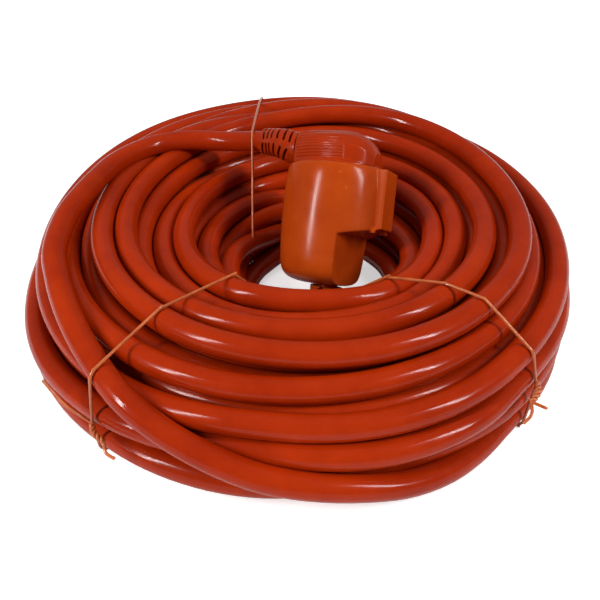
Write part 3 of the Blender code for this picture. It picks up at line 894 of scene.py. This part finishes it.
plugBody = {
    "radius": 0.019,
    "face": -0.0171,
    "exit": 0.0085,
    "voxel": 0.00034,
    "ribs": {"Pitch": 0.00145, "Depth": 0.00042, "Low": 0.0024, "High": 0.0150, "End": 0.0070},
    # along the grip: the place, then half width and height of its wall, its shoulder and its crest
    "grip": (
        (-0.0194, (0.0088, 0.0078), (0.0078, 0.0122), (0.0048, 0.0154)),
        (-0.0120, (0.0132, 0.0086), (0.0104, 0.0132), (0.0060, 0.0160)),
        (-0.0040, (0.0156, 0.0088), (0.0118, 0.0134), (0.0066, 0.0160)),
        (0.0050, (0.0158, 0.0088), (0.0118, 0.0134), (0.0064, 0.0158)),
        (0.0105, (0.0146, 0.0084), (0.0106, 0.0126), (0.0056, 0.0147)),
        (0.0155, (0.0112, 0.0070), (0.0078, 0.0100), (0.0042, 0.0114)),
        (0.0184, (0.0066, 0.0046), (0.0046, 0.0062), (0.0024, 0.0072)),
    ),
}


def makeRibTree():
    # grooves across a face at even heights, cut along the surface's own normal
    names = [(label, "NodeSocketFloat") for label in ("Pitch", "Depth", "Low", "High", "End")]
    tree, given, out = makeTree("ribs up a wall", names + [("Material", "NodeSocketMaterial")])
    where = tree.nodes.new("GeometryNodeInputPosition").outputs[0]
    place = put(tree, "ShaderNodeSeparateXYZ", {0: where}).outputs
    normal = tree.nodes.new("GeometryNodeInputNormal").outputs[0]
    tilt = put(tree, "ShaderNodeSeparateXYZ", {0: normal}).outputs[2]
    phase = maths(tree, "MULTIPLY", maths(tree, "DIVIDE", place[2], given["Pitch"]), 2 * math.pi)
    groove = mapRange(tree, maths(tree, "COSINE", phase), -0.2, 0.7)
    mask = mapRange(tree, tilt, 0.78, 0.90, 1.0, 0.0)
    above = maths(tree, "SUBTRACT", place[2], given["Low"])
    below = maths(tree, "SUBTRACT", given["High"], place[2])
    before = maths(tree, "SUBTRACT", given["End"], place[0])
    for distance in (above, below, before, maths(tree, "ADD", place[0], 0.0182)):
        mask = maths(tree, "MULTIPLY", mask, mapRange(tree, distance, 0.0, 0.0004))
    depth = maths(tree, "MULTIPLY", given["Depth"], -1.0)
    sunk = maths(tree, "MULTIPLY", maths(tree, "MULTIPLY", groove, mask), depth)
    moved = {"Geometry": given["Geometry"], "Offset": vectorMath(tree, "SCALE", normal, sunk)}
    closeTree(tree, put(tree, "GeometryNodeSetPosition", moved).outputs[0], given["Material"], out)
    return tree


ribTree = makeRibTree()


def makeGrip(sections, spacing):
    walls, shoulders, crests = [
        smoothPath([(section[0], *section[k]) for section in sections], spacing) for k in (1, 2, 3)
    ]
    count = len(walls)
    places = np.linspace(sections[0][0], sections[-1][0], count)
    points, faces = [], []
    for x in places:
        side = [[np.interp(x, line[:, 0], line[:, k]) for k in (1, 2)] for line in (walls, shoulders, crests)]
        side = [(side[0][0], 0.0007)] + side
        points += [(x, y, z) for y, z in side] + [(x, -y, z) for y, z in side[::-1]]
    for i in range(count - 1):
        faces += [(8 * i + n, 8 * i + (n + 1) % 8, 8 * i + 8 + (n + 1) % 8, 8 * i + 8 + n) for n in range(8)]
    faces += [tuple(range(8))[::-1], tuple(range(8 * count - 8, 8 * count))]
    return addObject("grip", meshOf("grip", points, faces))


def makePlug(s):
    radius, face = s["radius"], s["face"]
    profile = [(0, 0.0016), (0.0182, 0.0016), (radius, 0.0009)]
    profile += [(radius, face + 0.0006), (radius - 0.0006, face), (0, face)]
    body = combine(lathe("plug_shell", profile), makeGrip(s["grip"], 0.0008), "UNION")
    body = combine(body, box("pocket", (-0.008, -0.014, -0.020), (0.008, 0.014, 0.0035)))
    body = combine(body, box("core_space", (-0.008, -0.0100, 0.003), (0.006, 0.0100, 0.0118)))
    bore = cord["radius"] + cord["slack"]
    hole = [(x, 0, s["exit"]) for x in (-0.030, -0.017, -0.0045)]
    body = combine(body, tubeMesh("cord_bore", hole, bore, 32))
    body = combine(body, box("web_slot", (-0.0183, -0.0028, -0.0024), (0.0183, 0.0028, -0.0010)))
    for side in (-1, 1):
        low, high = sorted((side * 0.0169, side * 0.0210))
        body = combine(body, box(f"earth_notch{side}", (low, -0.0028, -0.019), (high, 0.0028, -0.0010)))
        low, high = sorted((side * 0.0166, side * 0.0210))
        body = combine(body, box(f"side_groove{side}", (-0.0036, low, -0.019), (0.0036, high, -0.0010)))
    body = runTree(softened(body, s["voxel"], 3), ribTree, {**s["ribs"], "Material": plugFinish})
    body.data.transform(mateMatrix)
    finish(body, "plug_shell", plugFinish, plug, "orange_moulding", "plug_body")


makePlug(plugBody)

# Wire ties: a taut wire round the coil's section, twisted together at its outer side

tieSet = {"radius": 0.0006, "clear": 0.0002, "sides": 10}
twistSet = {"length": 0.0105, "Turns": 2.5, "Spread": 0.00062, "Radius": 0.0006}
# each tie's free ends, as steps along the coil, outwards and up from the end of its twist
tails = {
    "tie_back": ((0.004, 0.003, 0.004), (0.006, 0.006, 0.001)),
    "tie_front_left": ((0.007, 0.001, -0.003), (-0.016, 0.006, 0.016)),
    "tie_front_right": ((-0.008, 0.001, -0.004), (-0.003, 0.006, 0.003)),
}


def hull(points):
    # the outline of a taut wire round flat points, in order round them
    points = sorted(set((round(float(a), 6), round(float(b), 6)) for a, b in points))
    around = []
    for row in (points, points[::-1]):
        side = []
        for p in row:
            while len(side) > 1:
                a, b = side[-2:]
                if (b[0] - a[0]) * (p[1] - a[1]) - (b[1] - a[1]) * (p[0] - a[0]) > 1e-12:
                    break
                side.pop()
            side.append(p)
        around += side[:-1]
    return around


def crossings(path, start, run):
    # where a cord passes through the upright plane of a tie: the distance along it, and the height
    across = np.array([run.y, -run.x])
    off = (path[:, :2] - np.array(start.xy)) @ across
    hit = np.nonzero(np.sign(off[:-1]) != np.sign(off[1:]))[0]
    f = (off[hit] / (off[hit] - off[hit + 1]))[:, None]
    at = path[hit] * (1 - f) + path[hit + 1] * f
    s = (at[:, :2] - np.array(start.xy)) @ np.array(run.xy)
    return [(a, b) for a, b in zip(s, at[:, 2]) if a > -0.03]


def makeTwistTree():
    # two wires wound round one path
    sizes = [("Turns", "NodeSocketFloat"), ("Spread", "NodeSocketFloat"), ("Radius", "NodeSocketFloat")]
    tree, given, out = makeTree("twisted wires", sizes + [("Material", "NodeSocketMaterial")])
    curve = put(tree, "GeometryNodeMeshToCurve", {"Mesh": given["Geometry"]}).outputs[0]
    curve = put(tree, "GeometryNodeResampleCurve", {"Curve": curve, "Count": 60}).outputs[0]
    normal = tree.nodes.new("GeometryNodeInputNormal").outputs[0]
    tangent = tree.nodes.new("GeometryNodeInputTangent").outputs[0]
    beside = vectorMath(tree, "CROSS_PRODUCT", tangent, normal)
    factor = tree.nodes.new("GeometryNodeSplineParameter").outputs["Factor"]
    turned = maths(tree, "MULTIPLY", maths(tree, "MULTIPLY", factor, given["Turns"]), 2 * math.pi)
    size = {"Resolution": tieSet["sides"], "Radius": given["Radius"]}
    profile = put(tree, "GeometryNodeCurvePrimitiveCircle", size).outputs[0]
    joined = tree.nodes.new("GeometryNodeJoinGeometry")
    for phase in (0.0, math.pi):
        angle = maths(tree, "ADD", turned, phase)
        offset = vectorMath(
            tree,
            "ADD",
            vectorMath(tree, "SCALE", normal, maths(tree, "COSINE", angle)),
            vectorMath(tree, "SCALE", beside, maths(tree, "SINE", angle)),
        )
        wound = {"Geometry": curve, "Offset": vectorMath(tree, "SCALE", offset, given["Spread"])}
        line = put(tree, "GeometryNodeSetPosition", wound).outputs[0]
        swept = {"Curve": line, "Profile Curve": profile, "Fill Caps": True}
        tree.links.new(put(tree, "GeometryNodeCurveToMesh", swept).outputs[0], joined.inputs[0])
    closeTree(tree, joined.outputs[0], given["Material"], out)
    return tree


twistTree = makeTwistTree()


def makeTie(name, near, far):
    start, end = Vector((*near, 0)), Vector((*far, 0))
    run = (end - start).normalized()
    along = Vector((-run.y, run.x, 0))  # the way round the coil, anticlockwise
    r = tieSet["radius"]
    reach = cord["radius"] + r + tieSet["clear"]
    found = crossings(mainPath, start, run) + crossings(leadPath, start, run)
    turns = np.linspace(0, 2 * math.pi, 24, endpoint=False)
    loop = hull([(s + reach * math.cos(t), z + reach * math.sin(t)) for s, z in found for t in turns])
    loop = [(s, max(z, r + 0.0001)) for s, z in loop]
    knot = max(range(len(loop)), key=lambda i: loop[i][0] - 0.5 * abs(loop[i][1] - 0.016))
    ring = loop[knot + 1 :] + loop[:knot]
    out = start + run * loop[knot][0] + Vector((0, 0, loop[knot][1]))
    first = [start + run * s + Vector((0, 0, z)) for s, z in ring]
    root = out + run * 0.0008
    wire = tubeMesh(name + "_wire", smoothPath([root, *first, root], 0.0010), r, tieSet["sides"])
    finish(wire, name + "_wire", wireFinish, base, "tie_wire", name)
    way = along * (-1 if name == "tie_front_right" else 1)
    tip = root + way * twistSet["length"] * 0.8 + run * 0.0016 + Vector((0, 0, -0.0022))
    middle = root + way * twistSet["length"] * 0.4 + run * 0.0022 + Vector((0, 0, -0.0006))
    route = smoothPath([root, middle, tip], 0.0006)
    guide = meshOf(name + "_guide", route, [], [(i, i + 1) for i in range(len(route) - 1)])
    values = {key: twistSet[key] for key in ("Turns", "Spread", "Radius")}
    twist = runTree(addObject(name + "_twist", guide), twistTree, {**values, "Material": wireFinish})
    finish(twist, name + "_twist", wireFinish, base, "tie_wire")
    for i, (onwards, outwards, up) in enumerate(tails[name]):
        begin = tip if onwards * (1 if way == along else -1) > 0 or i == 0 else root
        stop = begin + along * onwards + run * outwards + Vector((0, 0, up))
        stop.z = max(stop.z, 0.002)
        bend = (begin + stop) / 2 + run * 0.0015
        tail = tubeMesh(f"{name}_end_{i + 1}", smoothPath([begin, bend, stop], 0.0010), r, tieSet["sides"])
        finish(tail, tail.name, wireFinish, base, "tie_wire")


for name, (near, far) in ties.items():
    makeTie(name, near, far)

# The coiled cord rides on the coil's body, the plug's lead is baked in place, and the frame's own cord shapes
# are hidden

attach(mainCord, base)
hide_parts("cord_coil", "coupling_tail")
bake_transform(plugLead)
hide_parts("plug_tail", "plug_cord_end")

# Floor, lamps and world

studio = {
    "half": 9,  # half the floor's side
    "fill": 0.13,
    "mirrored": 0.15,  # how much of the white the surfaces reflect
    "lift": 0.55,  # the floor's own white, as far as the camera sees
    "left": {"place": (-0.80, -0.50, 0.62), "size": (0.09, 0.50), "power": 9.0},
    "right": {"place": (0.85, -0.45, 0.80), "size": (0.09, 0.50), "power": 9.0},
    "sky": {"strength": 1.0, "angle": 45, "tilt": (-12, 0, 0)},
}


def makeFloor():
    half = studio["half"]
    mesh = bpy.data.meshes.new("floor")
    corners = [(-half, -half, 0), (half, -half, 0), (half, half, 0), (-half, half, 0)]
    mesh.from_pydata(corners, [], [(0, 1, 2, 3)])
    floor = addObject("floor", mesh, floorFinish)
    tree = floorFinish.node_tree
    shader = tree.nodes["Principled BSDF"]
    seen = tree.nodes.new("ShaderNodeLightPath").outputs["Is Camera Ray"]
    shader.inputs["Emission Color"].default_value = (1, 1, 1, 1)
    tree.links.new(maths(tree, "MULTIPLY", seen, studio["lift"]), shader.inputs["Emission Strength"])


def makeLamp(name, s):
    data = bpy.data.lights.new(name, "AREA")
    data.shape = "RECTANGLE"
    data.size, data.size_y = s["size"]
    data.energy = s["power"]
    lamp = bpy.data.objects.new(name, data)
    lamp.location = s["place"]
    lamp.rotation_euler = (Vector((0, 0, 0.03)) - Vector(s["place"])).to_track_quat("-Z", "Y").to_euler()
    bpy.context.scene.collection.objects.link(lamp)


def makeSky(s):
    # a wide, soft light from above that reaches the floor evenly
    data = bpy.data.lights.new("sky", "SUN")
    data.energy = s["strength"]
    data.angle = math.radians(s["angle"])
    lamp = bpy.data.objects.new("sky", data)
    lamp.visible_glossy = False  # the streaks on the cord come from the two side boxes alone
    lamp.rotation_euler = [math.radians(d) for d in s["tilt"]]
    bpy.context.scene.collection.objects.link(lamp)


def makeWorld():
    world = bpy.data.worlds.new("studio")
    bpy.context.scene.world = world
    world.use_nodes = True
    tree = world.node_tree
    rays = tree.nodes.new("ShaderNodeLightPath").outputs
    mirrored = maths(tree, "MULTIPLY", rays["Is Glossy Ray"], studio["mirrored"])
    through = maths(tree, "MAXIMUM", rays["Is Transmission Ray"], mirrored)
    seen = maths(tree, "MAXIMUM", rays["Is Camera Ray"], through)
    back = tree.nodes["Background"]
    back.inputs["Color"].default_value = (1, 1, 1, 1)
    tree.links.new(mapRange(tree, seen, 0.0, 1.0, studio["fill"], 1.0), back.inputs["Strength"])


makeFloor()
for side in ("left", "right"):
    makeLamp(side + "_box", studio[side])
makeSky(studio["sky"])
makeWorld()
bpy.context.scene.view_settings.view_transform = "Standard"
print("floor, lamps and world made")
